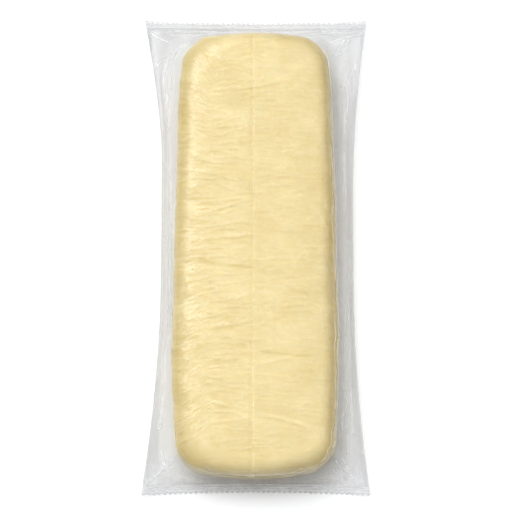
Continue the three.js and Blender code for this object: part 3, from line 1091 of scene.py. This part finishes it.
def strand_rings(distance, middle, wander, phase):
    """On which ring of the upper film a strand of its loose pleat runs."""
    slow = np.sin(2 * math.pi * distance / 67 + phase)
    quick = np.sin(2 * math.pi * distance / 19 + 2.3 * phase)
    return SKIRT_RINGS + middle + wander * (0.65 * slow + 0.35 * quick)


def strand_path(middle, wander, phase, reach):
    """The points of a strand, and how far each is round the rim from the far right corner."""
    bend = STRAND_STEPS * 2 // 3
    down = np.linspace(reach, -1, bend)
    back = np.linspace(1, STRAND_END, STRAND_STEPS - bend)
    distance = np.concatenate([
        BAG_CORNER_Y * (1 - down), BAG_CORNER_Y * 2 + BAG_WIDTH / 2 * (1 - back)])
    ring = strand_rings(distance, middle, wander, phase)
    path = np.vstack([
        upper_film_point("right", down, ring[:bend])[:, :3],
        upper_film_point("near", back, ring[bend:])[:, :3]])
    return path, distance


def strand_axes(path):
    """At each point of a strand, the way out from the loaf and the way up from the film."""
    run = np.gradient(path, axis=0)
    run /= np.linalg.norm(run, axis=1, keepdims=True)
    outward = np.cross(run, (0, 0, 1.0))
    outward /= np.linalg.norm(outward, axis=1, keepdims=True)
    outward *= np.sign(outward[:1, :1])
    up = np.cross(outward, run)
    up *= np.sign(up[:, 2:])
    return outward, up


def make_strand(name, material, middle, wander, phase, reach):
    """One strand of the pleat that runs down the loaf's right side and round its near end."""
    path, distance = strand_path(middle, wander, phase, reach)
    outward, up = strand_axes(path)
    share = np.linspace(0, 1, STRAND_STEPS)
    fade = rise(share, 0, 0.06) * rise(share, 1, 0.94)
    width = STRAND_WIDTH * (0.8 + 0.2 * np.sin(distance / 5 + phase)) * fade + 0.02
    strip = []
    for place in np.linspace(-1, 1, STRAND_COLUMNS + 1):
        aside = outward * (place * width / 2)[:, None]
        lift = up * (FILM_LIFT + STRAND_HEIGHT * fade * (1 - place ** 2))[:, None]
        strip.append(path + aside + lift)
    strip = np.array(strip)
    edge = abs(np.linspace(-1, 1, STRAND_COLUMNS + 1))[:, None] + 0 * strip[..., 0]
    mesh = sheet_mesh(name, strip, {
        "clear": lerp(*STRAND_CLEARNESS, edge), "milky": lerp(*STRAND_MILK, edge),
        "warm": 0 * edge + 1})
    add_piece(name, mesh, material)


# -------- stage

def aim(thing, place, target):
    thing.location = place
    thing.rotation_euler = (target - place).to_track_quat("-Z", "Y").to_euler()


def add_camera():
    elevation = math.radians(CAMERA_ELEVATION)
    away = Vector((0, -math.cos(elevation), math.sin(elevation)))
    data = bpy.data.cameras.new("camera")
    data.sensor_width = 36
    data.lens = CAMERA_LENS
    camera = bpy.data.objects.new("camera", data)
    bpy.context.scene.collection.objects.link(camera)
    aim(camera, CAMERA_TARGET + CAMERA_DISTANCE * away, CAMERA_TARGET)
    bpy.context.scene.camera = camera


def add_light(name, kind, place):
    light = bpy.data.objects.new(name, bpy.data.lights.new(name, kind))
    bpy.context.scene.collection.objects.link(light)
    aim(light, place, LIGHT_TARGET)
    return light


def add_lamp():
    """The soft lamp that lights what is matt. What is glossy shows the panel instead."""
    lamp = add_light("lamp", "SUN", LAMP_TOWARD)
    lamp.data.energy = LAMP_STRENGTH
    lamp.data.angle = math.radians(LAMP_SOFTNESS)
    lamp.visible_glossy = False


def add_sheen():
    """The long panel whose sheen breaks up on the film's wrinkles."""
    panel = add_light("sheen", "AREA", Vector(SHEEN_PLACE))
    panel.data.shape = "RECTANGLE"
    panel.data.size = SHEEN_WIDTH
    panel.data.size_y = SHEEN_LENGTH
    panel.data.energy = SHEEN_POWER
    panel.visible_diffuse = False


def add_sky():
    """Soft light from all round, brighter toward the far left."""
    world = bpy.data.worlds.new("studio")
    world.use_nodes = True
    way = add_node(world, "ShaderNodeTexCoord").outputs["Generated"]
    toward = add_node(world, "ShaderNodeVectorMath", {
        0: way, 1: SKY_TOWARD.normalized()}, operation="DOT_PRODUCT").outputs["Value"]
    glow = add_sum(world, "POWER", add_sum(world, "MAXIMUM", toward, 0.0), SKY_FOCUS)
    strength = add_sum(world, "MULTIPLY_ADD", glow, SKY_GLOW, SKY_LEVEL)
    background = world.node_tree.nodes["Background"]
    background.inputs["Color"].default_value = grey(1.0)
    world.node_tree.links.new(strength, background.inputs["Strength"])
    bpy.context.scene.world = world


def add_stage():
    scene = bpy.context.scene
    scene.view_settings.view_transform = "Standard"
    add_sky()
    add_lamp()
    add_sheen()
    bm = bmesh.new()
    bmesh.ops.create_grid(bm, x_segments=1, y_segments=1, size=FLOOR_REACH)
    bmesh.ops.translate(bm, verts=bm.verts, vec=(0, 0, -FLOOR_DROP))
    mesh = bpy.data.meshes.new("ground")
    bm.to_mesh(mesh)
    bm.free()
    ground = bpy.data.objects.new("ground", mesh)
    ground.data.materials.append(floor_material())
    scene.collection.objects.link(ground)


add_camera()
add_stage()
clinging_film = film_material(
    "clinging_film", roughness=0.11, shine=FILM_SHINE, crumple=0.7, grain=(0.4, 1, 1))
free_film = film_material(
    "free_film", roughness=0.15, shine=FILM_SHINE, crumple=0.06, grain=(1, 0.12, 1))
crimped_film = film_material(
    "crimped_film", roughness=0.2, shine=FILM_SHINE, crumple=0.1, grain=(0.2, 1, 1))
lap_film = film_material("lap_film", roughness=0.2, shine=0.01, crumple=0.1, grain=(1, 0.2, 1))
make_loaf(cheese_material())
face_points = make_upper_film(clinging_film, free_film)
make_lap(face_points, lap_film)
make_lower_film(free_film)
make_seal("seal_far", "far", crimped_film)
make_seal("seal_near", "near", crimped_film)
make_strand("pleat_outer", free_film, middle=2.0, wander=1.5, phase=0.4, reach=0.82)
make_strand("pleat_inner", free_film, middle=4.2, wander=1.6, phase=2.5, reach=0.7)
